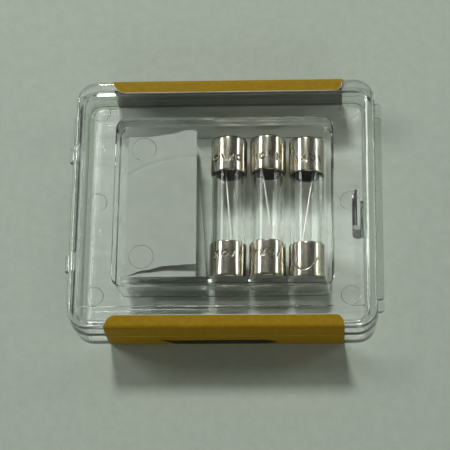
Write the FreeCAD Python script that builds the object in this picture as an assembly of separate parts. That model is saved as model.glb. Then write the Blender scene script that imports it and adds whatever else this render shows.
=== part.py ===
import FreeCAD, Part
import math
import os

from FreeCAD import Vector

# A hinged clear box of three glass cartridge fuses of the 5 x 20 mm kind, in millimetres.
# It lies on its lid: +X runs from the hinge to the latch, +Z points up through
# the tray. The origin is under the middle of the box, on the surface it rests on.

# ---- driving dimensions -------------------------------------------------
FACE_HALF_X = 20.65         # flat faces of both shells
FACE_HALF_Y = 17.9
CORNER_RADIUS = 2.8
DRAFT = 0.2                 # each shell widens by this much down to the parting plane
HEIGHT = 8.6
PARTING_Z = 5.2
RIM_GAP = 0.06              # between the two rims when closed
WALL = 1.1
LID_PLATE = 1.3
PANEL_RISE = 0.3            # raised panel on the tray's outer face
PANEL_INSET_X = 1.3
PANEL_INSET_Y = 2.95
PANEL_SLOPE_X = 0.35        # its edge is a gentle slope this wide, up to the step
PANEL_SLOPE_Y = 0.75
PANEL_STEP = 0.16           # steep upper part of the rise
PANEL_STEP_RUN = 0.08       # how far the step leans
PANEL_CORNER = 0.3
TRAY_CEILING_Z = 7.35
OUTER_FILLET = 0.5
INNER_FILLET = 0.6

FRAME_HALF_X = 14.9         # compartment wall around the fuses, outside
FRAME_HALF_Y = 12.12
FRAME_Y = 0.28              # its middle
FRAME_WALL = 1.2            # at the root
FRAME_CORNER = 1.4
FRAME_TAPER_OUTER = 0.12    # how much each side draws in toward the free edge
FRAME_TAPER_INNER = 0.45
FRAME_CLEARANCE = 0.25      # between the compartment wall and the lid plate
FRAME_FLARE = 0.14          # bevel where the wall meets the ceiling
FRAME_BEVEL = 0.12          # bevel round the free edge

HINGE_BAR_RADIUS = 0.40
HINGE_BAR_HALF = 13.8
HINGE_FIT = 0.03            # running fit of the clips on the bar
CLIP_OUTER_RADIUS = 0.80
CLIP_Y = 8.0
CLIP_WIDTH = 2.2
CLIP_SIDE_GAP = 0.25
CLIP_SWING_GAP = 0.12       # round the bar and the clips

LIP_REACH = 0.80            # finger lips, beyond the parting line
LIP_THICKNESS = 0.7
LIP_CORNER = 0.55
TRAY_LIP_HALF = 15.1
LID_LIP_HALF = 13.2

LATCH_X = 17.45             # inner face of the latch tongue
LATCH_Y = -1.0
LATCH_THICKNESS = 1.1
LATCH_HALF = 2.6
LATCH_CORNER = 0.45         # upright edges of the tongue, on the side of the compartment
LATCH_TIP_Z = 1.9
LATCH_TIP_SLOPE = 0.75
HOOK_REACH = 0.55
HOOK_EDGE = 0.25
CATCH_Z = 2.9               # underside of the bead that the hook sits under
CATCH_HEIGHT = 0.45
CATCH_GAP = 0.08

FUSE_PLACES = ((0.55, 0.0), (5.95, 0.1), (11.35, -0.25))   # middle of each fuse in X and Y
FUSE_LENGTH = 20.6
FUSE_CLEARANCE = 0.05       # under the fuses as they lie on the lid plate
CAP_RADIUS = 2.55
CAP_LENGTH = 5.2
CAP_WALL = 0.18
CAP_END = 0.25
CAP_FILLET = 0.25
GLASS_RADIUS = 2.35
GLASS_WALL = 0.6
SOLDER_RADIUS = 1.68
SOLDER_LENGTH = 0.9
WIRE_RADIUS = 0.11
WIRE_OFFSETS = ((-0.8, 0.3), (-1.3, 0.4), (1.35, -0.3))   # rear end offset in X and Z per fuse

LABEL_X = 0.3               # middle of its ears
LABEL_HALF_X = 16.0         # ears of the label, which run up the front and rear walls
LABEL_THICKNESS = 0.10
LABEL_FLAP = 1.8
LABEL_CORNER = 1.5
LABEL_FACE_HALF = (18.9, 16.8, 1.0)   # its wide part under the lid: half X, half Y, corner radius
LABEL_RECESS = 0.15         # shallow seat for the label in the lid's face
LABEL_SEAT_GAP = 0.25       # round the wide part
LABEL_SLIT = 0.02           # each label stops this far from the parting plane

PAPER_X = (-13.4, -3.5)     # folded leaflet beside the fuses
PAPER_Y = (-10.0, 10.6)
PAPER_Z = (1.4, 6.9)
PAPER_CORNER = 0.5

MARK_DEPTH = 0.07           # round ejector marks in the tray ceiling
MARK_SLOPE = 0.06           # width of their sloped edge
SIDE_MARK = (17.2, 13.35, 1.27)       # half spacing in X, in Y, radius
MIDDLE_MARK = (11.0, 7.8, 1.62)

# ---- derived sizes ------------------------------------------------------
RIM_FACE_Z = HEIGHT - PANEL_RISE
HINGE_X = -(FACE_HALF_X + DRAFT)
TRAY_RIM_Z = PARTING_Z + RIM_GAP / 2
LID_RIM_Z = PARTING_Z - RIM_GAP / 2
FUSE_Z = LID_PLATE + FUSE_CLEARANCE + CAP_RADIUS

Y_AXIS = Vector(0, 1, 0)
Z_AXIS = Vector(0, 0, 1)


def box(x0, x1, y0, y1, z0, z1):
    """Block between two opposite corners."""
    return Part.makeBox(x1 - x0, y1 - y0, z1 - z0, Vector(x0, y0, z0))


def cylinder_y(x, z, radius, y0, y1):
    """Cylinder along Y."""
    return Part.makeCylinder(radius, y1 - y0, Vector(x, y0, z), Y_AXIS)


def rounded_wire(half_x, half_y, radius, z, centre=(0, 0)):
    """Rounded rectangle in a level plane."""
    cx, cy = centre
    bend = radius * (1 - math.cos(math.pi / 4))
    edges = []
    corners = [(1, 1), (-1, 1), (-1, -1), (1, -1)]
    for index, (sx, sy) in enumerate(corners):
        corner_x = cx + sx * half_x
        corner_y = cy + sy * half_y
        on_side = Vector(corner_x, corner_y - sy * radius, z)
        on_end = Vector(corner_x - sx * radius, corner_y, z)
        middle = Vector(corner_x - sx * bend, corner_y - sy * bend, z)
        if index % 2 == 0:
            edges.append(Part.Arc(on_side, middle, on_end).toShape())
        else:
            edges.append(Part.Arc(on_end, middle, on_side).toShape())
        next_sx, next_sy = corners[(index + 1) % 4]
        next_x = cx + next_sx * half_x
        next_y = cy + next_sy * half_y
        if index % 2 == 0:
            edges.append(Part.LineSegment(on_end, Vector(next_x - next_sx * radius, next_y, z)).toShape())
        else:
            edges.append(Part.LineSegment(on_side, Vector(next_x, next_y - next_sy * radius, z)).toShape())
    return Part.Wire(edges)


def drafted_block(low, high):
    """Solid between two rounded rectangles, each (half_x, half_y, radius, z)."""
    return Part.makeLoft([rounded_wire(*low), rounded_wire(*high)], True, True)


def level_edges(solid, z):
    """Edges that lie wholly in the level plane at z."""
    found = []
    for edge in solid.Edges:
        bounds = edge.BoundBox
        if abs(bounds.ZMin - z) < 1e-4 and abs(bounds.ZMax - z) < 1e-4:
            found.append(edge)
    return found


def rim_shape(inset, z):
    """Plan of the shells at the parting plane, pulled in by inset."""
    return (FACE_HALF_X + DRAFT - inset, FACE_HALF_Y + DRAFT - inset, CORNER_RADIUS + DRAFT - inset, z)


def face_shape(inset, z):
    """Plan of the shells at their flat faces, pulled in by inset."""
    return (FACE_HALF_X - inset, FACE_HALF_Y - inset, CORNER_RADIUS - inset, z)


# ---- labels -------------------------------------------------------------
def wall_half_y(z, upper):
    """Half width in Y of a shell's outer wall at height z."""
    if upper:
        return FACE_HALF_Y + DRAFT * (RIM_FACE_Z - z) / (RIM_FACE_Z - TRAY_RIM_Z)
    return FACE_HALF_Y + DRAFT * z / LID_RIM_Z


def wall_profile(upper, face_z, end_z):
    """Outline of a shell's front edge in the YZ plane: along the face, round its edge, down the wall."""
    up = 1 if upper else -1
    face_y = -wall_half_y(face_z, upper)
    end_y = -wall_half_y(end_z, upper)
    slope = math.atan2(face_y - end_y, abs(face_z - end_z))
    turn = math.pi / 2 - slope
    centre_y = face_y + OUTER_FILLET * math.tan(turn / 2)
    centre_z = face_z - up * OUTER_FILLET

    def on_bend(angle):
        return Vector(0, centre_y - OUTER_FILLET * math.sin(angle),
                      centre_z + up * OUTER_FILLET * math.cos(angle))

    return [Part.LineSegment(Vector(0, face_y + LABEL_FLAP, face_z), on_bend(0)).toShape(),
            Part.Arc(on_bend(0), on_bend(turn / 2), on_bend(turn)).toShape(),
            Part.LineSegment(on_bend(turn), Vector(0, end_y, end_z)).toShape()]


def label_strip(upper, face_z, end_z, side):
    """Label sheet over one edge of a shell; side is -1 for the front wall and 1 for the rear."""
    profile = Part.Wire(wall_profile(upper, face_z, end_z))
    section = profile.makeOffset2D(LABEL_THICKNESS, 0, True, True)
    if section.BoundBox.YMin > profile.BoundBox.YMin - LABEL_THICKNESS / 2:
        section = profile.makeOffset2D(-LABEL_THICKNESS, 0, True, True)
    strip = section.extrude(Vector(2 * LABEL_HALF_X, 0, 0))
    strip.translate(Vector(LABEL_X - LABEL_HALF_X, 0, 0))
    if side > 0:
        strip = strip.mirror(Vector(0, 0, 0), Y_AXIS)
    return strip


def tray_label(side):
    """Label on the tray: a rounded flap on the face and a strip down the wall."""
    strip = label_strip(True, RIM_FACE_Z, TRAY_RIM_Z + LABEL_SLIT, side)
    reach_y = 6.0
    trim_y = FACE_HALF_Y - LABEL_FLAP + reach_y
    trim = Part.Face(rounded_wire(LABEL_HALF_X, reach_y, LABEL_CORNER, 0, (LABEL_X, side * trim_y)))
    return strip.common(trim.extrude(Vector(0, 0, HEIGHT + 1)))


def lid_label():
    """Label that runs up the rear wall, across the lid's face and up the front wall."""
    plan = Part.Face(rounded_wire(*LABEL_FACE_HALF, LABEL_RECESS - LABEL_THICKNESS))
    result = plan.extrude(Vector(0, 0, LABEL_THICKNESS))
    for side in (-1, 1):
        result = result.fuse(label_strip(False, LABEL_RECESS, LID_RIM_Z - LABEL_SLIT, side))
    return result.removeSplitter()


# ---- shells -------------------------------------------------------------
def tray_shell():
    """Upper shell: plate, walls, compartment frame, latch tongue, hinge bar and finger lip."""
    body = drafted_block(rim_shape(0, TRAY_RIM_Z), face_shape(0, RIM_FACE_Z))
    body = body.makeFillet(OUTER_FILLET, level_edges(body, RIM_FACE_Z))

    cavity = drafted_block(rim_shape(WALL, TRAY_RIM_Z - 1), face_shape(WALL, TRAY_CEILING_Z))
    body = body.cut(cavity.makeFillet(INNER_FILLET / 2, level_edges(cavity, TRAY_CEILING_Z)))

    panel_x = FACE_HALF_X - PANEL_INSET_X
    panel_y = FACE_HALF_Y - PANEL_INSET_Y
    step_foot_z = HEIGHT - PANEL_STEP
    root_depth = 0.1
    run = 1 + root_depth / (PANEL_RISE - PANEL_STEP)
    foot_x = panel_x + PANEL_STEP_RUN
    foot_y = panel_y + PANEL_STEP_RUN
    slope_x = PANEL_SLOPE_X - PANEL_STEP_RUN
    slope_y = PANEL_SLOPE_Y - PANEL_STEP_RUN
    body = body.fuse(drafted_block(
        (foot_x + slope_x * run, foot_y + slope_y * run, PANEL_CORNER, RIM_FACE_Z - root_depth),
        (foot_x, foot_y, PANEL_CORNER, step_foot_z)))
    body = body.fuse(drafted_block((foot_x, foot_y, PANEL_CORNER, step_foot_z),
                                   (panel_x, panel_y, PANEL_CORNER, HEIGHT)))

    body = body.fuse(compartment_frame())
    body = body.cut(ejector_marks())

    body = body.fuse(latch_tongue())
    body = body.fuse(finger_lip(TRAY_LIP_HALF, TRAY_RIM_Z, TRAY_RIM_Z + LIP_THICKNESS))

    # round bar of the hinge; the wall is cut back where the clips grip it
    bar = cylinder_y(HINGE_X, PARTING_Z, HINGE_BAR_RADIUS, -HINGE_BAR_HALF, HINGE_BAR_HALF)
    body = body.fuse(bar)
    for side in (-1, 1):
        notch_half = CLIP_WIDTH / 2 + CLIP_SIDE_GAP
        notch = cylinder_y(HINGE_X, PARTING_Z, CLIP_OUTER_RADIUS + CLIP_SWING_GAP, side * CLIP_Y - notch_half,
                           side * CLIP_Y + notch_half)
        body = body.cut(notch.cut(bar))
    return body.removeSplitter()


def compartment_frame():
    """Wall that hangs from the tray plate round the fuses and the leaflet, a little thinner at its free edge."""
    top_z = TRAY_CEILING_Z + 0.2
    free_z = LID_PLATE + FRAME_CLEARANCE
    draw = FRAME_TAPER_OUTER
    edge_x = FRAME_HALF_X - draw
    edge_y = FRAME_HALF_Y - draw
    bevel = FRAME_BEVEL
    outer = drafted_block((edge_x, edge_y, FRAME_CORNER, free_z + bevel),
                          (FRAME_HALF_X, FRAME_HALF_Y, FRAME_CORNER, top_z))
    outer = outer.fuse(drafted_block((edge_x - bevel, edge_y - bevel, FRAME_CORNER - bevel, free_z),
                                     (edge_x, edge_y, FRAME_CORNER, free_z + bevel)))
    wide_x = FRAME_HALF_X + FRAME_FLARE
    wide_y = FRAME_HALF_Y + FRAME_FLARE
    outer = outer.fuse(drafted_block((FRAME_HALF_X, FRAME_HALF_Y, FRAME_CORNER, TRAY_CEILING_Z - FRAME_FLARE),
                                     (wide_x, wide_y, FRAME_CORNER + FRAME_FLARE, TRAY_CEILING_Z)))
    inner_x = FRAME_HALF_X - FRAME_WALL
    inner_y = FRAME_HALF_Y - FRAME_WALL
    inner_corner = FRAME_CORNER - FRAME_WALL
    draw = FRAME_TAPER_INNER
    inner = drafted_block((inner_x + draw, inner_y + draw, inner_corner, free_z),
                          (inner_x, inner_y, inner_corner, TRAY_CEILING_Z))
    wall = outer.cut(inner)
    wall.translate(Vector(0, FRAME_Y, 0))
    return wall


def ejector_marks():
    """Tools for ten shallow discs in the tray ceiling, each with a sloped edge."""
    marks = []
    side_x, side_y, side_radius = SIDE_MARK
    middle_x, middle_y, middle_radius = MIDDLE_MARK
    for sx in (-1, 1):
        for y in (-side_y, 0, side_y):
            marks.append((sx * side_x, y, side_radius))
        for sy in (-1, 1):
            marks.append((sx * middle_x, sy * middle_y, middle_radius))
    discs = []
    for x, y, radius in marks:
        discs.append(Part.makeCone(radius + 2 * MARK_SLOPE, radius, 2 * MARK_DEPTH,
                                   Vector(x, y, TRAY_CEILING_Z - MARK_DEPTH), Z_AXIS))
    return Part.makeCompound(discs)


def finger_lip(half_length, z0, z1):
    """Ledge along the +X wall with rounded ends."""
    root_x = FACE_HALF_X - 0.4
    edge_x = FACE_HALF_X + DRAFT + LIP_REACH
    plan = Part.Face(rounded_wire((edge_x - root_x) / 2, half_length, LIP_CORNER, z0, ((edge_x + root_x) / 2, 0)))
    return plan.extrude(Vector(0, 0, z1 - z0))


def lid_shell():
    """Lower shell: plate, walls, catch bead, hinge clips, shorter finger lip and label seat."""
    body = drafted_block(face_shape(0, 0), rim_shape(0, LID_RIM_Z))
    body = body.makeFillet(OUTER_FILLET, level_edges(body, 0))

    cavity = drafted_block(face_shape(WALL, LID_PLATE), rim_shape(WALL, LID_RIM_Z + 1))
    body = body.cut(cavity.makeFillet(INNER_FILLET, level_edges(cavity, LID_PLATE)))
    body = body.fuse(catch_bead())
    body = body.fuse(finger_lip(LID_LIP_HALF, LID_RIM_Z - LIP_THICKNESS, LID_RIM_Z))

    # groove for the hinge bar, then the clips that wrap round it
    groove = cylinder_y(HINGE_X, PARTING_Z, HINGE_BAR_RADIUS + CLIP_SWING_GAP,
                        -HINGE_BAR_HALF - 0.2, HINGE_BAR_HALF + 0.2)
    body = body.cut(groove)
    for side in (-1, 1):
        body = body.fuse(hinge_clip(side * CLIP_Y))

    # seat for the label: a shallow channel over the face, with the same rounded edge as the wall
    for cutter in label_seat():
        body = body.cut(cutter)
    return body.removeSplitter()


def label_seat():
    """Tools that sink the lid's face under the label."""
    face_half_x, face_half_y, corner = LABEL_FACE_HALF
    gap = LABEL_SEAT_GAP
    plan = Part.Face(rounded_wire(face_half_x + gap, face_half_y + gap, corner + gap, -1))
    half_x = LABEL_HALF_X + gap
    tools = [plan.extrude(Vector(0, 0, 1 + LABEL_RECESS)),
             box(LABEL_X - half_x, LABEL_X + half_x, -FACE_HALF_Y - 1, FACE_HALF_Y + 1, -1, LABEL_RECESS)]
    for side in (-1, 1):
        profile = wall_profile(False, LABEL_RECESS, LID_RIM_Z)
        bend_start = profile[1].Vertexes[0].Point
        bend_end = profile[1].Vertexes[1].Point
        corner = Vector(0, bend_end.y - 0.5, bend_start.z - 0.5)
        low_inner = Vector(0, bend_start.y, bend_start.z - 0.5)
        low_outer = Vector(0, bend_end.y - 0.5, bend_end.z)
        outline = [profile[1],
                   Part.LineSegment(bend_end, low_outer).toShape(),
                   Part.LineSegment(low_outer, corner).toShape(),
                   Part.LineSegment(corner, low_inner).toShape(),
                   Part.LineSegment(low_inner, bend_start).toShape()]
        tool = Part.Face(Part.Wire(Part.__sortEdges__(outline))).extrude(Vector(2 * half_x, 0, 0))
        tool.translate(Vector(LABEL_X - half_x, 0, 0))
        tools.append(tool.mirror(Vector(0, 0, 0), Y_AXIS) if side > 0 else tool)
    return tools


def latch_tongue():
    """Tongue that hangs from the tray plate, with a hook toward the +X wall and a sloped tip."""
    x0 = LATCH_X
    x1 = LATCH_X + LATCH_THICKNESS
    hook_x = x1 + HOOK_REACH
    hook_z = CATCH_Z - CATCH_GAP
    top_z = TRAY_CEILING_Z + 0.1
    slope = LATCH_TIP_SLOPE
    outline = [Vector(x0, 0, top_z), Vector(x0, 0, LATCH_TIP_Z + slope), Vector(x0 + slope, 0, LATCH_TIP_Z),
               Vector(x1, 0, LATCH_TIP_Z), Vector(hook_x, 0, hook_z - HOOK_EDGE), Vector(hook_x, 0, hook_z),
               Vector(x1, 0, hook_z), Vector(x1, 0, top_z)]
    face = Part.Face(Part.makePolygon(outline + [outline[0]]))
    tongue = face.extrude(Vector(0, 2 * LATCH_HALF, 0))
    tongue.translate(Vector(0, LATCH_Y - LATCH_HALF, 0))
    upright = [e for e in tongue.Edges if abs(e.BoundBox.XMax - x0) < 1e-4 and e.BoundBox.ZLength > 2]
    return tongue.makeFillet(LATCH_CORNER, upright)


def catch_bead():
    """Bead inside the lid's +X wall that the hook snaps under."""
    bead_x = LATCH_X + LATCH_THICKNESS + HOOK_REACH + CATCH_GAP
    half = LATCH_HALF + 0.3
    return box(bead_x, FACE_HALF_X - 0.3, LATCH_Y - half, LATCH_Y + half, CATCH_Z, CATCH_Z + CATCH_HEIGHT)


def hinge_clip(y):
    """C-shaped clip round the hinge bar, open toward the inside of the tray."""
    y0 = y - CLIP_WIDTH / 2
    y1 = y + CLIP_WIDTH / 2
    ring = cylinder_y(HINGE_X, PARTING_Z, CLIP_OUTER_RADIUS, y0, y1)
    mouth = box(HINGE_X, HINGE_X + 2, y0, y1, LID_RIM_Z, PARTING_Z + 2)
    bore = cylinder_y(HINGE_X, PARTING_Z, HINGE_BAR_RADIUS + HINGE_FIT, y0, y1)
    root = box(HINGE_X, HINGE_X + WALL, y0, y1, PARTING_Z - CLIP_OUTER_RADIUS, LID_RIM_Z)
    return ring.cut(mouth).fuse(root).cut(bore)


# ---- fuses and leaflet --------------------------------------------------
def fuse_parts(index, x, y):
    """Nodes of one cartridge fuse that lies along Y."""
    front = y - FUSE_LENGTH / 2
    rear = y + FUSE_LENGTH / 2
    parts = {}

    for name, end, inward in (("front", front, 1), ("rear", rear, -1)):
        y0, y1 = sorted((end, end + inward * CAP_LENGTH))
        cap = cylinder_y(x, FUSE_Z, CAP_RADIUS, y0, y1)
        cap = cap.makeFillet(CAP_FILLET, [e for e in cap.Edges if abs(e.BoundBox.YMin - end) < 1e-4
                                    and abs(e.BoundBox.YMax - end) < 1e-4])
        b0, b1 = sorted((end + inward * CAP_END, end + inward * (CAP_LENGTH + 1)))
        parts["fuse_%d_cap_%s" % (index, name)] = cap.cut(cylinder_y(x, FUSE_Z, CAP_RADIUS - CAP_WALL, b0, b1))
        s0, s1 = sorted((end + inward * CAP_END, end + inward * (CAP_END + SOLDER_LENGTH)))
        parts["fuse_%d_solder_%s" % (index, name)] = cylinder_y(x, FUSE_Z, SOLDER_RADIUS, s0, s1)

    g0 = front + CAP_END
    g1 = rear - CAP_END
    tube = cylinder_y(x, FUSE_Z, GLASS_RADIUS, g0, g1)
    bore = cylinder_y(x, FUSE_Z, GLASS_RADIUS - GLASS_WALL, g0, g1)
    parts["fuse_%d_glass_tube" % index] = tube.cut(bore)

    dx, dz = WIRE_OFFSETS[index - 1]
    inset = CAP_END + SOLDER_LENGTH / 2
    start = Vector(x - dx, front + inset, FUSE_Z - dz)
    end = Vector(x + dx, rear - inset, FUSE_Z + dz)
    run = end - start
    parts["fuse_%d_wire" % index] = Part.makeCylinder(WIRE_RADIUS, run.Length, start, run)
    return parts


def paper_insert():
    """Folded leaflet, as a plain slab."""
    half_x = (PAPER_X[1] - PAPER_X[0]) / 2
    half_y = (PAPER_Y[1] - PAPER_Y[0]) / 2
    centre = (PAPER_X[0] + half_x, PAPER_Y[0] + half_y)
    plan = Part.Face(rounded_wire(half_x, half_y, PAPER_CORNER, PAPER_Z[0], centre))
    return plan.extrude(Vector(0, 0, PAPER_Z[1] - PAPER_Z[0]))


def build():
    """Every node of the object by name."""
    nodes = {
        "tray_shell": tray_shell(),
        "lid_shell": lid_shell(),
        "tray_label_front": tray_label(-1),
        "tray_label_rear": tray_label(1),
        "lid_label": lid_label(),
        "paper_insert": paper_insert(),
    }
    for index, (x, y) in enumerate(FUSE_PLACES, start=1):
        nodes.update(fuse_parts(index, x, y))
    return nodes


os.makedirs("parts", exist_ok=True)
for node_name, shape in build().items():
    shape.exportStep("parts/%s.step" % node_name)
    size = shape.BoundBox
    print("%-22s %d solid  valid %s  %8.3f mm3  X %.2f..%.2f  Y %.2f..%.2f  Z %.2f..%.2f" % (
        node_name, len(shape.Solids), shape.isValid(), shape.Volume,
        size.XMin, size.XMax, size.YMin, size.YMax, size.ZMin, size.ZMax))
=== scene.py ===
import math

import bmesh
import bpy
from mathutils import Matrix, Vector, noise


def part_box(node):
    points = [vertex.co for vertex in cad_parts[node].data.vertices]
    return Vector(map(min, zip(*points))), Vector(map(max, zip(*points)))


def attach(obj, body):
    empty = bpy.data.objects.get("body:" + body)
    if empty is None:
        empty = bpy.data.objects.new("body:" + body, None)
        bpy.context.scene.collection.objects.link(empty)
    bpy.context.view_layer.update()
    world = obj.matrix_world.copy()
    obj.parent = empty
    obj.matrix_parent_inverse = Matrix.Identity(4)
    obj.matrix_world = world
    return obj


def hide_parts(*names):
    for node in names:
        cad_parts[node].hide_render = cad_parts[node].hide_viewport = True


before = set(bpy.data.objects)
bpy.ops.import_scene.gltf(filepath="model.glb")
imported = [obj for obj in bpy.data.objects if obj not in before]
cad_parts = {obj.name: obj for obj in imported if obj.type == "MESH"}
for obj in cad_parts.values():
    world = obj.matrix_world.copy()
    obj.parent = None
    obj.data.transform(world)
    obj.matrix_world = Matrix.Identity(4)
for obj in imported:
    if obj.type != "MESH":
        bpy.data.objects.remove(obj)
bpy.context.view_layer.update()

# Looks of a clear hinged box with three cartridge fuses, in metres.
# Every place comes from the CAD nodes' boxes; sizes in millimetres are multiplied by MM.

MM = 0.001

# ---- camera, in degrees and metres --------------------------------------
VIEW_AZIMUTH = -10.73
VIEW_TILT = 19.98                      # off straight down
VIEW_ROLL = -10.57
VIEW_DISTANCE = 0.2343
VIEW_TARGET = Vector((0.0, -0.0018, 0.0035))
LENS = 135.8

# ---- light --------------------------------------------------------------
PLASTIC_IOR = 1.57                     # styrene
GLASS_IOR = 1.50
TUBE_GATHERS = 1.12                    # a round tube gathers light on what lies under it
ROOM_WALLS = 0.42                      # brightness of the room below the first height
ROOM_CEILING = 0.05                    # and above the second
ROOM_FADE = (0.10, 0.50)               # the two heights, as sines of the elevation

# ---- shells and labels --------------------------------------------------
AIR = 0.015 * MM                       # gap that keeps touching skins apart
DRAFT = 0.2 * MM                       # how far a wall leans out over its height
EDGE_BEND = 0.5 * MM
LID_WALL_HEIGHT = 5.1 * MM
LID_WALL_Y = 17.9 * MM                 # the lid's front wall where it meets the face
SHEET = 0.10 * MM                      # label thickness
LABEL_FLAP = 1.8 * MM
LABEL_MARGIN = 0.05 * MM               # unprinted edge
LABEL_COLUMNS = 64
LABEL_RECESS = 0.15 * MM
LABEL_WIDE = (19.08 * MM, 16.95 * MM, 1.1 * MM)     # under the lid: half X, half Y, corner
FLAP_CORNERS = {"front": (1.7 * MM, 1.3 * MM), "rear": (2.0 * MM, 1.2 * MM)}    # left and right
EAR_Y = 17.4 * MM                      # beyond this the label stands up along the walls, and its back there is painted in shade
GLUE_X = 18.25 * MM                    # middle of the line of glossy glue, from the box's middle
GLUE_HALF = 0.34 * MM
INK_LIFTS = (0.006 * MM, 0.022 * MM)   # inner and outer side of the ink, off the label
PRINT_HALF = 15.5                      # half the width of the print under the lid, in millimetres
CREASE_ANGLE = 35                      # degrees; edges sharper than this stay sharp

# ---- fuses --------------------------------------------------------------
CAP_STEPS = 360
TUBE_STEPS = 160
GLASS_WALL = 0.6 * MM
MARKS_FROM_MOUTH = 1.9 * MM            # stamped marks on the caps
STAMP_DEPTH = 0.095 * MM
PAINTED_DARK_DEPTH = 0.04 * MM                    # pressed in deeper than this, the metal is rougher and painted dark as a dark reflection in the marks
SCRATCH_DEPTH = 0.06 * MM
PLAIN_CAP = (3, "front")               # has a scratch and no stamp

# ---- leaflet, in millimetres --------------------------------------------
# the top panel's uneven ends, as (x, y) points
REAR_EDGE = [(-13.4, 9.3), (-10.4, 10.0), (-7.5, 10.35), (-5.0, 10.95), (-3.8, 10.8)]
FRONT_EDGE = [(-13.4, -10.25), (-10.6, -9.45), (-7.5, -8.85), (-3.7, -8.65)]
PANEL_THICK = 0.11


# ---- materials ----------------------------------------------------------
def linear(red, green, blue):
    """sRGB 0-255 to a linear colour."""
    def channel(value):
        share = value / 255
        return share / 12.92 if share <= 0.04045 else ((share + 0.055) / 1.055) ** 2.4
    return (channel(red), channel(green), channel(blue), 1.0)


class Surface:
    """One node material with a Principled shader."""

    def __init__(self, name, **sockets):
        self.material = bpy.data.materials.new(name)
        self.material.use_nodes = True
        self.nodes = self.material.node_tree.nodes
        self.links = self.material.node_tree.links
        self.shader = self.nodes["Principled BSDF"]
        self.output = self.nodes["Material Output"]
        for socket, value in sockets.items():
            self.shader.inputs[socket.replace("_", " ")].default_value = value

    def add(self, kind, **settings):
        """New node; settings with a capital letter are sockets, the others are attributes."""
        node = self.nodes.new(kind)
        for key, value in settings.items():
            if key[0].isupper():
                node.inputs[key.replace("_", " ")].default_value = value
            else:
                setattr(node, key, value)
        return node

    def link(self, source, target):
        self.links.new(source, target)

    def place(self, stretch=(1, 1, 1)):
        """Object coordinates, scaled per axis."""
        coordinates = self.add("ShaderNodeTexCoord")
        mapping = self.add("ShaderNodeMapping", Scale=stretch)
        self.link(coordinates.outputs["Object"], mapping.inputs["Vector"])
        return mapping.outputs["Vector"]

    def noise(self, scale, detail=4.0, roughness=0.55, stretch=(1, 1, 1)):
        texture = self.add("ShaderNodeTexNoise", Scale=scale, Detail=detail, Roughness=roughness)
        self.link(self.place(stretch), texture.inputs["Vector"])
        return texture.outputs["Fac"]

    def ramp(self, source, stops):
        """Colour ramp from (position, colour) stops."""
        ramp = self.add("ShaderNodeValToRGB")
        elements = ramp.color_ramp.elements
        while len(elements) < len(stops):
            elements.new(0.5)
        for element, (position, colour) in zip(elements, stops):
            element.position = position
            element.color = colour
        self.link(source, ramp.inputs["Fac"])
        return ramp.outputs["Color"]

    def colour(self, source, stops):
        self.link(self.ramp(source, stops), self.shader.inputs["Base Color"])

    def roughness(self, source, low, high):
        spread = self.add("ShaderNodeMapRange", To_Min=low, To_Max=high)
        self.link(source, spread.inputs["Value"])
        self.link(spread.outputs["Result"], self.shader.inputs["Roughness"])

    def bump(self, source, strength, distance):
        node = self.add("ShaderNodeBump", Strength=strength, Distance=distance)
        self.link(source, node.inputs["Height"])
        self.link(node.outputs["Normal"], self.shader.inputs["Normal"])

    def let_light_through(self, tint):
        """Lamp rays, and rays scattered by matt surfaces, go straight through the material with this tint."""
        path = self.add("ShaderNodeLightPath")
        either = self.add("ShaderNodeMath", operation="MAXIMUM")
        self.link(path.outputs["Is Shadow Ray"], either.inputs[0])
        self.link(path.outputs["Is Diffuse Ray"], either.inputs[1])
        clear = self.add("ShaderNodeBsdfTransparent", Color=tint)
        mix = self.add("ShaderNodeMixShader")
        self.link(either.outputs["Value"], mix.inputs["Fac"])
        self.link(self.shader.outputs["BSDF"], mix.inputs[1])
        self.link(clear.outputs["BSDF"], mix.inputs[2])
        self.link(mix.outputs["Shader"], self.output.inputs["Surface"])


def clear_plastic():
    surface = Surface("clear_plastic", Base_Color=(0.935, 0.955, 0.935, 1), Transmission_Weight=1.0,
                      IOR=PLASTIC_IOR)
    surface.roughness(surface.noise(300, 5), 0.0, 0.05)
    surface.bump(surface.noise(160, 2, stretch=(0.5, 1.6, 1)), 0.05, 0.02 * MM)
    surface.let_light_through((1.0, 1.0, 1.0, 1))
    return surface.material


def tube_glass():
    surface = Surface("tube_glass", Base_Color=(0.995, 1.0, 0.995, 1), Transmission_Weight=1.0, IOR=GLASS_IOR)
    surface.roughness(surface.noise(400, 3), 0.0, 0.03)
    surface.let_light_through((TUBE_GATHERS, TUBE_GATHERS, TUBE_GATHERS, 1))
    return surface.material


def nickel():
    surface = Surface("nickel_cap", Metallic=1.0)
    grain = surface.noise(900, 6, 0.6, (1, 0.12, 1))
    surface.colour(grain, [(0.3, (0.47, 0.435, 0.36, 1)), (0.7, (0.65, 0.605, 0.515, 1))])
    surface.roughness(surface.noise(350, 4), 0.13, 0.22)
    surface.bump(surface.noise(700, 3), 0.12, 0.02 * MM)
    return surface.material


def painted_dark_stamp_nickel():
    surface = Surface("painted_dark_stamp_nickel", Metallic=1.0)
    # painted dark reflection: the stamped hollows are coloured dark in place of the dark surroundings
    # mirrored in their slopes
    surface.colour(surface.noise(900), [(0.3, (0.10, 0.09, 0.07, 1)), (0.7, (0.17, 0.155, 0.125, 1))])
    surface.roughness(surface.noise(1200), 0.25, 0.4)
    return surface.material


def solder():
    surface = Surface("dull_solder", Metallic=1.0)
    surface.colour(surface.noise(900), [(0.3, (0.30, 0.30, 0.29, 1)), (0.7, (0.48, 0.48, 0.46, 1))])
    surface.roughness(surface.noise(1200), 0.3, 0.55)
    surface.bump(surface.noise(1500), 0.4, 0.05 * MM)
    return surface.material


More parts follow.
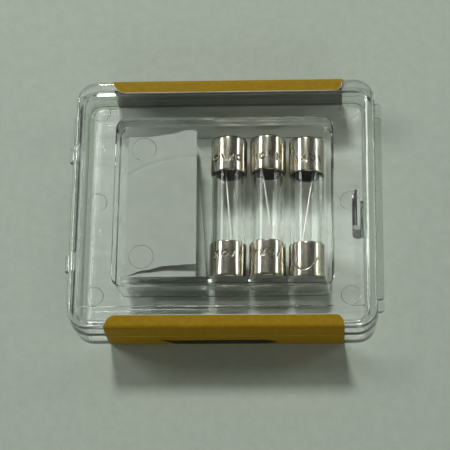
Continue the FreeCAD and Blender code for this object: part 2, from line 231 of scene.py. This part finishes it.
def tinned_wire():
    surface = Surface("tinned_wire", Metallic=1.0)
    surface.colour(surface.noise(2500), [(0.3, (0.60, 0.58, 0.52, 1)), (0.7, (0.82, 0.80, 0.75, 1))])
    surface.roughness(surface.noise(3000), 0.25, 0.4)
    return surface.material


def label_print():
    surface = Surface("label_print", Specular_IOR_Level=0.08)
    surface.colour(surface.noise(1400, 6, 0.7),
                   [(0.3, (0.275, 0.165, 0.0045, 1)), (0.7, (0.365, 0.225, 0.009, 1))])
    surface.roughness(surface.noise(700), 0.45, 0.6)
    surface.bump(surface.noise(260, 4, stretch=(1, 0.5, 1)), 0.25, 0.03 * MM)
    return surface.material


def label_paper_with_ear_shade():
    """White back of the label with painted shade on the back of its ears, and a glossy line of glue near each
    end.
    """
    surface = Surface("label_paper_with_ear_shade", Specular_IOR_Level=0.9)
    fibres = surface.noise(260, 6, 0.65, (0.35, 2.2, 1))
    split = surface.add("ShaderNodeSeparateXYZ")
    surface.link(surface.place(), split.inputs["Vector"])
    side = surface.add("ShaderNodeMath", operation="ABSOLUTE")
    surface.link(split.outputs["Y"], side.inputs[0])
    # painted shade mask: 0.5 on the face under the lid, 0 on the ears, whose back is coloured dark as shade
    flat = surface.add("ShaderNodeMapRange", From_Min=EAR_Y + 0.2 * MM, From_Max=EAR_Y,
                       To_Min=0.0, To_Max=0.5)
    surface.link(side.outputs["Value"], flat.inputs["Value"])
    fibre_tone_and_ear_shade = surface.add("ShaderNodeMath", operation="MULTIPLY_ADD")
    surface.link(fibres, fibre_tone_and_ear_shade.inputs[0])
    fibre_tone_and_ear_shade.inputs[1].default_value = 0.5
    surface.link(flat.outputs["Result"], fibre_tone_and_ear_shade.inputs[2])
    # the two darkest stops are painted shade on the ears' back; the brighter stops are the paper's own white
    # with fibre grain
    surface.colour(fibre_tone_and_ear_shade.outputs["Value"],
                   [(0.15, linear(78, 86, 77)), (0.38, linear(94, 102, 92)),
                    (0.62, linear(199, 206, 199)), (0.78, linear(224, 230, 224)),
                    (0.92, linear(233, 238, 233))])
    end = surface.add("ShaderNodeMath", operation="ABSOLUTE")
    surface.link(split.outputs["X"], end.inputs[0])
    line = surface.add("ShaderNodeMath", operation="COMPARE")
    surface.link(end.outputs["Value"], line.inputs[0])
    line.inputs[1].default_value = GLUE_X
    line.inputs[2].default_value = GLUE_HALF
    surface.roughness(line.outputs["Value"], 0.85, 0.16)
    rough = surface.add("ShaderNodeMath", operation="MULTIPLY_ADD")
    surface.link(line.outputs["Value"], rough.inputs[0])
    surface.link(surface.noise(1900, 3, 0.7, (0.7, 1.2, 1)), rough.inputs[1])
    surface.link(surface.noise(240, 5, stretch=(0.3, 2.6, 1)), rough.inputs[2])
    surface.bump(rough.outputs["Value"], 0.6, 0.07 * MM)
    return surface.material


def black_ink():
    surface = Surface("black_ink", Specular_IOR_Level=0.25)
    surface.colour(surface.noise(900), [(0.3, (0.010, 0.009, 0.006, 1)), (0.7, (0.022, 0.020, 0.014, 1))])
    surface.roughness(surface.noise(800), 0.45, 0.6)
    return surface.material


def leaflet_paper():
    surface = Surface("leaflet_paper", Roughness=0.85)
    surface.colour(surface.noise(330, 7, 0.7),
                   [(0.3, linear(178, 186, 179)), (0.7, linear(192, 199, 192))])
    surface.bump(surface.noise(900, 6, 0.7), 0.25, 0.03 * MM)
    return surface.material


def table_top():
    surface = Surface("table_top", Roughness=0.75)
    surface.colour(surface.noise(700, 8, 0.7),
                   [(0.25, linear(171, 182, 171)), (0.75, linear(184, 195, 184))])
    surface.bump(surface.noise(1200, 6), 0.15, 0.03 * MM)
    return surface.material


# ---- mesh helpers -------------------------------------------------------
def new_piece(name, vertices, faces, materials):
    """Smooth mesh object from lists; faces are (corner indices, material index)."""
    mesh = bpy.data.meshes.new(name)
    mesh.from_pydata([tuple(v) for v in vertices], [], [corners for corners, _ in faces])
    for material in materials:
        mesh.materials.append(material)
    for polygon, (_, material_index) in zip(mesh.polygons, faces):
        polygon.material_index = material_index
        polygon.use_smooth = True
    piece = bpy.data.objects.new(name, mesh)
    bpy.context.scene.collection.objects.link(piece)
    shape = bmesh.new()
    shape.from_mesh(mesh)
    bmesh.ops.remove_doubles(shape, verts=shape.verts, dist=1e-7)
    bmesh.ops.recalc_face_normals(shape, faces=shape.faces)
    shape.to_mesh(mesh)
    shape.free()
    mesh.set_sharp_from_angle(angle=math.radians(CREASE_ANGLE))
    return piece


def sheet_piece(name, back, front, front_material, back_material, border=()):
    """Closed sheet between two equal grids: the front has its own material, the back and edges the other.

    border names the sides ("first", "last", "left", "right") whose outermost front cells show the back's
    material; where a border is given, the cut edges of the other sides take the front's material.
    """
    rows = len(back)
    columns = len(back[0])
    vertices = [point for row in back for point in row] + [point for row in front for point in row]
    lift = rows * columns
    faces = []
    for j in range(rows - 1):
        for i in range(columns - 1):
            low = j * columns + i
            high = low + columns
            corners = [low, low + 1, high + 1, high]
            faces.append((corners, 1))
            touched = {"first": j == 0, "last": j == rows - 2, "left": i == 0, "right": i == columns - 2}
            in_border = any(touched[side] for side in border)
            faces.append(([c + lift for c in reversed(corners)], 1 if in_border else 0))
    rim = [(0, i, "first") for i in range(columns - 1)]
    rim += [(j, columns - 1, "right") for j in range(rows - 1)]
    rim += [(rows - 1, i, "last") for i in range(columns - 1, 0, -1)]
    rim += [(j, 0, "left") for j in range(rows - 1, 0, -1)]
    indices = [j * columns + i for j, i, _ in rim]
    for (_, _, side), a, b in zip(rim, indices, indices[1:] + indices[:1]):
        faces.append(([a, b, b + lift, a + lift], 0 if border and side not in border else 1))
    return new_piece(name, vertices, faces, [front_material, back_material])


def lathe_y(name, profile, centre, materials, steps, shift=None):
    """Closed ring of (radius, y) points turned about an axis along Y.

    shift(radius, y, angle) moves the radius; faces pressed in deeper than PAINTED_DARK_DEPTH take the second material.
    """
    vertices = []
    depths = []
    faces = []
    count = len(profile)
    for step in range(steps):
        angle = 2 * math.pi * step / steps
        for radius, y in profile:
            depth = shift(radius, y, angle) if shift else 0.0
            moved = radius + depth
            depths.append(depth)
            vertices.append((centre.x + moved * math.sin(angle), y, centre.z + moved * math.cos(angle)))
    for step in range(steps):
        following = (step + 1) % steps
        for i in range(count):
            j = (i + 1) % count
            if profile[i][0] == 0 and profile[j][0] == 0:
                continue
            corners = [step * count + i, step * count + j, following * count + j, following * count + i]
            stamped = min(depths[corner] for corner in corners) < -PAINTED_DARK_DEPTH
            faces.append((corners, 1 if stamped else 0))
    return new_piece(name, vertices, faces, materials)


# ---- fuses --------------------------------------------------------------
def cap_marks(radius, along, angle, seed):
    """How far stamped rings and strokes press into a cap's side. They are plain marks, not letters."""
    depth = 0.0
    stroke = 0.14 * MM
    for index in range(4):
        centre = (index - 1.5) * 0.46 + 0.10 * math.sin(seed)
        across = math.remainder(angle - centre, 2 * math.pi) * radius
        off = along - MARKS_FROM_MOUTH
        kind = (index + int(3 * seed)) % 3
        if kind == 0:
            distance = abs(math.hypot(across, off) - 0.38 * MM) / stroke
        elif kind == 1:
            distance = max(abs(across + 0.4 * off) / stroke, abs(off) / (0.60 * MM))
        else:
            distance = max(abs(abs(across) - 0.3 * abs(off) - 0.12 * MM) / stroke, abs(off) / (0.55 * MM))
        if distance < 1:
            depth = max(depth, 1 - distance ** 2)
    return -STAMP_DEPTH * depth


def cap_scratch(along, angle):
    """Bowed scratch across the top of an unstamped cap."""
    turned = angle + 0.2
    if abs(turned) > 0.9:
        return 0.0
    bow = (4.0 - 2.6 * turned ** 2) * MM
    return -SCRATCH_DEPTH * max(0.0, 1 - ((along - bow) / (0.12 * MM)) ** 2)


def cap_profile(low, high, outer, closed_low):
    """Section of a drawn cap with a rounded closed end and a slightly turned-in mouth."""
    wall = 0.16 * MM
    bend = 0.42 * MM
    flat = high - low
    points = [(0.0, 0.0), (outer - bend - 0.25 * MM, 0.0)]
    points += [(outer - bend + bend * math.sin(math.radians(a)), bend - bend * math.cos(math.radians(a)))
               for a in range(0, 91, 10)]
    side_steps = 100
    mouth = flat - 0.18 * MM
    points += [(outer, bend + (mouth - bend) * step / side_steps) for step in range(1, side_steps + 1)]
    points += [(outer - 0.02 * MM, flat - 0.06 * MM), (outer - 0.07 * MM, flat),
               (outer - wall, flat - 0.02 * MM), (outer - wall, 0.3 * MM), (0.0, 0.3 * MM)]
    if closed_low:
        return [(radius, low + y) for radius, y in points]
    return [(radius, high - y) for radius, y in points]


def make_fuse(index, materials):
    """Caps and glass of one fuse as finer meshes on its CAD body."""
    body = "fuse_%d" % index
    name = body + "_"
    tube_low, tube_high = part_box(name + "glass_tube")
    centre = (tube_low + tube_high) / 2
    for end_index, end in enumerate(("front", "rear")):
        low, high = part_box(name + "cap_" + end)
        outer = (high.z - low.z) / 2
        closed_low = end == "front"
        mouth_y = high.y if closed_low else low.y
        seed = index * 1.7 + end_index * 2.3
        plain = (index, end) == PLAIN_CAP

        def press(radius, y, angle, mouth_y=mouth_y, outer=outer, seed=seed, plain=plain):
            dent = 0.0
            if radius > 0.9 * outer:
                dent += 0.012 * MM * math.sin(3 * angle + seed) * math.sin(y * 900 + seed)
            if radius > outer - 0.02 * MM:
                along = abs(y - mouth_y)
                turned = math.remainder(angle, 2 * math.pi)
                dent += cap_scratch(along, turned) if plain else cap_marks(radius, along, turned, seed)
            return dent

        profile = cap_profile(low.y, high.y, outer - 0.013 * MM, closed_low)
        cap = lathe_y(name + "cap_%s_drawn" % end, profile, centre, [materials["cap"], materials["stamp_painted_dark"]],
                      CAP_STEPS, press)
        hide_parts(name + "cap_" + end)
        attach(cap, body)

    outer = (tube_high.z - tube_low.z) / 2
    bore = outer - GLASS_WALL
    soft = 0.12 * MM
    y0 = tube_low.y + 0.1 * MM
    y1 = tube_high.y - 0.1 * MM
    section = [(bore, y0 + soft), (bore + soft, y0), (outer - soft, y0), (outer, y0 + soft),
               (outer, y1 - soft), (outer - soft, y1), (bore + soft, y1), (bore, y1 - soft)]
    tube = lathe_y(name + "glass_drawn", section, centre, [materials["tube"]], TUBE_STEPS)
    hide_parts(name + "glass_tube")
    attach(tube, body)


# ---- labels -------------------------------------------------------------
def shell_edge(face_z, face_y, rim_z, upper, flap):
    """Points and outward directions round a shell's front edge, from the flap on its face down the wall.

    face_y is where the wall's line meets the face; the wall leans out to the rim at rim_z.
    """
    up = 1 if upper else -1
    lean = math.atan2(DRAFT, abs(face_z - rim_z))
    turn = math.pi / 2 - lean
    centre_y = face_y + EDGE_BEND * math.tan(turn / 2)
    centre_z = face_z - up * EDGE_BEND
    rows = []
    flap_steps = 16
    for step in range(flap_steps):
        rows.append(((face_y + flap + (centre_y - face_y - flap) * step / flap_steps, face_z), (0.0, up)))
    bend_steps = 10
    for step in range(bend_steps + 1):
        angle = turn * step / bend_steps
        out = (-math.sin(angle), up * math.cos(angle))
        rows.append(((centre_y + EDGE_BEND * out[0], centre_z + EDGE_BEND * out[1]), out))
    (bend_y, bend_z), out = rows[-1]
    wall_steps = 16
    for step in range(1, wall_steps + 1):
        share = step / wall_steps
        wall_y = bend_y + (face_y - DRAFT - bend_y) * share
        wall_z = bend_z + (rim_z - bend_z) * share
        rows.append(((wall_y, wall_z), out))
    return rows


def spread(low, high, steps, margin):
    """Even steps from low to high with one extra step at each end, a margin wide."""
    inner = [low + margin + (high - low - 2 * margin) * i / steps for i in range(steps + 1)]
    return [low] + inner + [high]


def corner_inset(depth, radius):
    """How far a rounded corner draws in at this depth from the edge."""
    if depth >= radius:
        return 0.0
    return radius - math.sqrt(max(radius ** 2 - (radius - depth) ** 2, 0.0))


def wrinkle(x, y, size, seed):
    """Small unevenness of stuck paper, never inward past the air gap."""
    wave = noise.noise(Vector((x * 260, y * 500, seed)))
    wave += 0.5 * noise.noise(Vector((x * 900, y * 1100, seed)))
    return max(size * wave, -0.4 * AIR)


def label_grid(rows, widths, side, offset):
    """Grid over the edge rows, out by offset; widths gives (left, right) for each row."""
    grid = []
    for ((y, z), (out_y, out_z)), (left, right) in zip(rows, widths):
        row = []
        for x in spread(left, right, LABEL_COLUMNS, LABEL_MARGIN):
            away = offset + wrinkle(x, y + z, 0.010 * MM, side * 3.1)
            row.append((x, -side * (y + out_y * away), z + out_z * away))
        grid.append(row)
    return grid


def label_sheet(name, rows, widths, side, materials, border):
    """Sheet that follows the rows: printed outside, white paper at its back and along the border."""
    back = label_grid(rows, widths, side, AIR)
    front = label_grid(rows, widths, side, SHEET - 0.01 * MM)
    return sheet_piece(name, back, front, materials["print"], materials["paper"], border)


def tray_label(side_name, side, materials):
    """Flap on the tray's face and strip down its wall."""
    node = "tray_label_" + side_name
    low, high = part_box(node)
    face_z = high.z - SHEET
    wall_y = max(abs(low.y), abs(high.y)) - SHEET
    rows = shell_edge(face_z, -(wall_y - DRAFT), low.z, True, LABEL_FLAP)
    first_y, _ = rows[0][0]
    margin_row = ((first_y - LABEL_MARGIN, face_z), (0.0, 1))
    rows.insert(1, margin_row)
    left_corner, right_corner = FLAP_CORNERS[side_name]
    widths = []
    for (y, _), _ in rows:
        depth = first_y - y
        left = low.x + corner_inset(depth, left_corner)
        right = high.x - corner_inset(depth, right_corner)
        widths.append((left, right))
    piece = label_sheet(node + "_sheet", rows, widths, side, materials, ("first", "left", "right"))
    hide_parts(node)
    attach(piece, "tray")


def lid_label(materials):
    """One sheet up the front wall, under the lid's face and up the rear wall."""
    _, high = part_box("lid_label")
    upper_low, upper_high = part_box("tray_label_front")
    left, right = upper_low.x, upper_high.x
    wide_x, wide_y, wide_corner = LABEL_WIDE
    wall_y = high.y - SHEET
    ear = shell_edge(LABEL_RECESS, -(wall_y - DRAFT), high.z, False, wall_y - DRAFT - wide_y)[1:]
    front = list(reversed(ear))
    face = []
    face_y = [-wide_y + 0.02 * MM, -wide_y + 0.2 * MM, -wide_y + 0.5 * MM]
    face_y += [-wide_y + wide_corner + (wide_y - wide_corner) * 2 * i / 90 for i in range(91)]
    face_y += [wide_y - 0.5 * MM, wide_y - 0.2 * MM, wide_y - 0.02 * MM]
    for y in face_y:
        face.append(((y, LABEL_RECESS), (0.0, -1)))
    rear = [((-y, z), (-out_y, out_z)) for (y, z), (out_y, out_z) in ear]
    rows = front + face + rear
    widths = [(left, right)] * len(front)
    for (y, _), _ in face:
        inset = corner_inset(wide_y - abs(y), wide_corner)
        widths.append((-wide_x + inset, wide_x - inset))
    widths += [(left, right)] * len(rear)
    piece = label_sheet("lid_label_sheet", rows, widths, -1, materials, ("left", "right"))
    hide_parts("lid_label")
    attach(piece, "lid")


def wall_patch(name, outline_low, outline_high, wall_y, materials):
    """Black printed shape on the lid label's front ear, between two lines of (x, z) points."""
    lean = DRAFT / LID_WALL_HEIGHT
    grids = []
    for offset in INK_LIFTS:
        grid = []
        for share in (0.0, 0.2, 0.4, 0.6, 0.8, 1.0):
            row = []
            for (x0, z0), (x1, z1) in zip(outline_low, outline_high):
                x = x0 + (x1 - x0) * share
                z = z0 + (z1 - z0) * share
                row.append((x * MM, -(wall_y + offset) - lean * z * MM, z * MM))
            grid.append(row)
        grids.append(grid)
    piece = sheet_piece(name, grids[0], grids[1], materials["ink"], materials["ink"])
    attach(piece, "lid")


def underside_blocks():
    """Plain printed blocks under the lid as (left, right, front, rear) in millimetres."""
    left, right = -PRINT_HALF, PRINT_HALF
    blocks = [(left, right, 9.0, 13.5), (right - 7.0, right, 1.0, 6.6), (left, right, -4.6, -4.2)]
    for row, length in enumerate((17.5, 12.5, 21.5)):
        blocks.append((left, left + length, 5.4 - 2.2 * row, 6.6 - 2.2 * row))
    for column in range(4):
        start = left + 8.3 * column
        blocks.append((start, start + 6.1, -8.6, -7.4))
    for row, length in enumerate((26.5, 24.5)):
        blocks.append((left, left + length, -11.6 - 2.2 * row, -10.6 - 2.2 * row))
    return blocks


def face_patch(name, x0, x1, y0, y1, materials):
    """Black printed block on the lid label's underside, in millimetres."""
    grids = []
    for offset in INK_LIFTS:
        z = LABEL_RECESS - SHEET - offset
        grid = []
        for j in range(7):
            row = []
            for i in range(13):
                inset = 0.0 if 0 < j < 6 else 0.12 * (y1 - y0)
                x = x0 + inset + (x1 - x0 - 2 * inset) * i / 12
                row.append((x * MM, (y0 + (y1 - y0) * j / 6) * MM, z))
            grid.append(row)
        grids.append(grid)
    piece = sheet_piece(name, grids[0], grids[1], materials["ink"], materials["ink"])
    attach(piece, "lid")


# ---- leaflet ------------------------------------------------------------
def blend_line(points, x):
    """Smooth height of a line through (x, y) points, both in millimetres."""
    if x <= points[0][0]:
        return points[0][1]
    for (x0, y0), (x1, y1) in zip(points, points[1:]):
        if x <= x1:
            share = (x - x0) / (x1 - x0)
            return y0 + (y1 - y0) * (3 * share ** 2 - 2 * share ** 3)
    return points[-1][1]


def leaflet_panel(name, sides, ends, level, curve, seed, material):
    """One panel of the folded leaflet, in millimetres.

    sides are (left, right at the front, right at the rear).
    ends are the front and the rear, each a y or a line of (x, y) points.
    """
    left, right_front, right_rear = sides
    columns = 44
    rows = 90
    grids = []
    for lift in (0.0, PANEL_THICK):
        grid = []
        for j in range(rows + 1):
            v = j / rows
            row = []
            for i in range(columns + 1):
                u = i / columns
                x = left + (right_front + (right_rear - right_front) * v - left) * u
                y0, y1 = [blend_line(end, x) if isinstance(end, list) else end for end in ends]
                y = y0 + (y1 - y0) * v
                wave = 0.05 * noise.noise(Vector((x * 0.16, y * 0.12, seed)))
                wave += 0.012 * noise.noise(Vector((x * 1.1, y * 0.9, seed + 3)))
                z = level + lift + wave + curve(u, v, x, y)
                row.append((x * MM, y * MM, z * MM))
            grid.append(row)
        grids.append(grid)
    piece = sheet_piece(name, grids[0], grids[1], material, material)
    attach(piece, "tray")
    return piece


def make_leaflet(materials):
    """Stack of folded panels that stands for the CAD slab."""
    low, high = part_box("paper_insert")
    left = low.x / MM
    top = high.z / MM
    floor = low.z / MM
    paper = materials["leaflet"]

    def top_curve(u, v, x, y):
        across = x - REAR_EDGE[0][0]
        from_crease = y - 4.3 - 0.59 * across + 0.033 * across ** 2
        ridge = 0.09 * math.exp(-(from_crease / 0.17) ** 2)
        lifted = 0.12 * max(0.0, 1 - v * 3) ** 2 * u
        return lifted - ridge - 0.35 * (1 - u) ** 4 - 0.3

    def second_curve(u, v, x, y):
        return -0.45 * u ** 2 + 0.3 * max(0.0, 1 - 6 * v) ** 2

    def low_curve(u, v, x, y):
        return 0.15 * math.sin(3 * u + 1.5 * v)

    panel = leaflet_panel("leaflet_top", (left + 0.03, -3.62, -3.85), (FRONT_EDGE, REAR_EDGE),
                          top - 0.1, top_curve, 1.0, paper)
    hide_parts("paper_insert")
    leaflet_panel("leaflet_second", (left + 0.06, -3.7, -3.9), (-10.35, 10.2),
                  top - 1.0, second_curve, 7.0, paper)
    leaflet_panel("leaflet_third", (left + 0.10, -2.35, -3.95), (-10.4, 10.0),
                  floor + 1.9, low_curve, 13.0, paper)
    leaflet_panel("leaflet_bottom", (left + 0.05, -2.6, -3.9), (-10.3, 10.3),
                  floor + 0.25, low_curve, 19.0, paper)


# ---- stage --------------------------------------------------------------
def make_camera():
    azimuth, tilt, roll = (math.radians(a) for a in (VIEW_AZIMUTH, VIEW_TILT, VIEW_ROLL))
    ahead = Vector((math.sin(azimuth), math.cos(azimuth), 0))
    upright = Vector((0, 0, 1))
    forward = math.sin(tilt) * ahead - math.cos(tilt) * upright
    level_up = math.cos(tilt) * ahead + math.sin(tilt) * upright
    level_right = forward.cross(level_up)
    right = math.cos(roll) * level_right + math.sin(roll) * level_up
    up = -math.sin(roll) * level_right + math.cos(roll) * level_up
    camera = bpy.data.objects.new("camera", bpy.data.cameras.new("camera"))
    camera.data.lens = LENS
    camera.data.clip_start = 0.01
    turn = Matrix((right, up, -forward)).transposed().to_4x4()
    camera.matrix_world = Matrix.Translation(VIEW_TARGET - forward * VIEW_DISTANCE) @ turn
    bpy.context.scene.collection.objects.link(camera)
    bpy.context.scene.camera = camera


def area_light(name, place, width, depth, watts, colour):
    """Soft lamp that faces the object."""
    lamp = bpy.data.lights.new(name, "AREA")
    lamp.shape = "RECTANGLE"
    lamp.size = width
    lamp.size_y = depth
    lamp.energy = watts
    lamp.color = colour
    holder = bpy.data.objects.new(name, lamp)
    holder.location = place
    holder.rotation_euler = (Vector((0, 0, 0)) - Vector(place)).to_track_quat("-Z", "Y").to_euler()
    bpy.context.scene.collection.objects.link(holder)


def make_room():
    """Pale walls round a darker ceiling, so that clear edges have something bright to mirror."""
    world = bpy.data.worlds.new("soft_room")
    world.use_nodes = True
    nodes = world.node_tree.nodes
    links = world.node_tree.links
    background = nodes["Background"]
    background.inputs["Color"].default_value = (0.93, 1.0, 0.93, 1)
    direction = nodes.new("ShaderNodeTexCoord")
    split = nodes.new("ShaderNodeSeparateXYZ")
    fade = nodes.new("ShaderNodeMapRange")
    fade.interpolation_type = "SMOOTHSTEP"
    fade.inputs["From Min"].default_value, fade.inputs["From Max"].default_value = ROOM_FADE
    fade.inputs["To Min"].default_value = ROOM_WALLS
    fade.inputs["To Max"].default_value = ROOM_CEILING
    links.new(direction.outputs["Generated"], split.inputs["Vector"])
    links.new(split.outputs["Z"], fade.inputs["Value"])
    links.new(fade.outputs["Result"], background.inputs["Strength"])
    bpy.context.scene.world = world


def make_stage():
    bpy.ops.mesh.primitive_plane_add(size=3, location=(0, 0, -0.02 * MM))
    floor = bpy.context.object
    floor.name = "floor"
    floor.data.materials.append(table_top())

    make_room()

    area_light("key_rear", (-0.06, 0.345, 0.465), 0.09, 0.09, 1.53, (0.99, 1.0, 0.965))
    area_light("side_left", (-0.39, 0.20, 0.36), 0.20, 0.07, 0.78, (0.98, 1.0, 0.97))
    area_light("side_right", (0.46, 0.20, 0.26), 0.16, 0.09, 0.30, (0.98, 1.0, 0.97))
    area_light("front_fill", (0.12, -0.48, 0.36), 0.40, 0.20, 0.42, (1.0, 0.91, 0.78))
    area_light("low_left", (-0.45, 0.03, 0.075), 0.30, 0.09, 0.11, (0.98, 1.0, 0.98))
    area_light("low_right", (0.45, 0.02, 0.075), 0.24, 0.08, 0.05, (0.98, 1.0, 0.98))

    scene = bpy.context.scene
    scene.view_settings.view_transform = "Standard"
    scene.cycles.max_bounces = 20
    scene.cycles.transmission_bounces = 20
    scene.cycles.transparent_max_bounces = 32


def paint(node, material):
    """Give a carried-over CAD node its material."""
    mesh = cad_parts[node].data
    mesh.materials.clear()
    mesh.materials.append(material)


def main():
    make_camera()
    make_stage()
    materials = {"cap": nickel(), "stamp_painted_dark": painted_dark_stamp_nickel(), "tube": tube_glass(), "print": label_print(),
                 "paper": label_paper_with_ear_shade(), "ink": black_ink(), "leaflet": leaflet_paper()}
    plastic = clear_plastic()
    for shell in ("tray_shell", "lid_shell"):
        paint(shell, plastic)
    wire = tinned_wire()
    metal = solder()
    for index in (1, 2, 3):
        make_fuse(index, materials)
        paint("fuse_%d_wire" % index, wire)
        for end in ("front", "rear"):
            paint("fuse_%d_solder_%s" % (index, end), metal)
    tray_label("front", -1, materials)
    tray_label("rear", 1, materials)
    lid_label(materials)
    bar_low = [(-8.6, 3.1), (-6.6, 1.0), (5.6, 1.0), (7.4, 1.8)]
    bar_high = [(-8.6, 3.2), (-6.6, 2.8), (5.6, 3.1), (7.4, 1.9)]
    wall_patch("label_bar", bar_low, bar_high, LID_WALL_Y + SHEET, materials)
    for index, (x0, x1, y0, y1) in enumerate(underside_blocks(), start=1):
        face_patch("label_block_%d" % index, x0, x1, y0, y1, materials)
    make_leaflet(materials)


main()
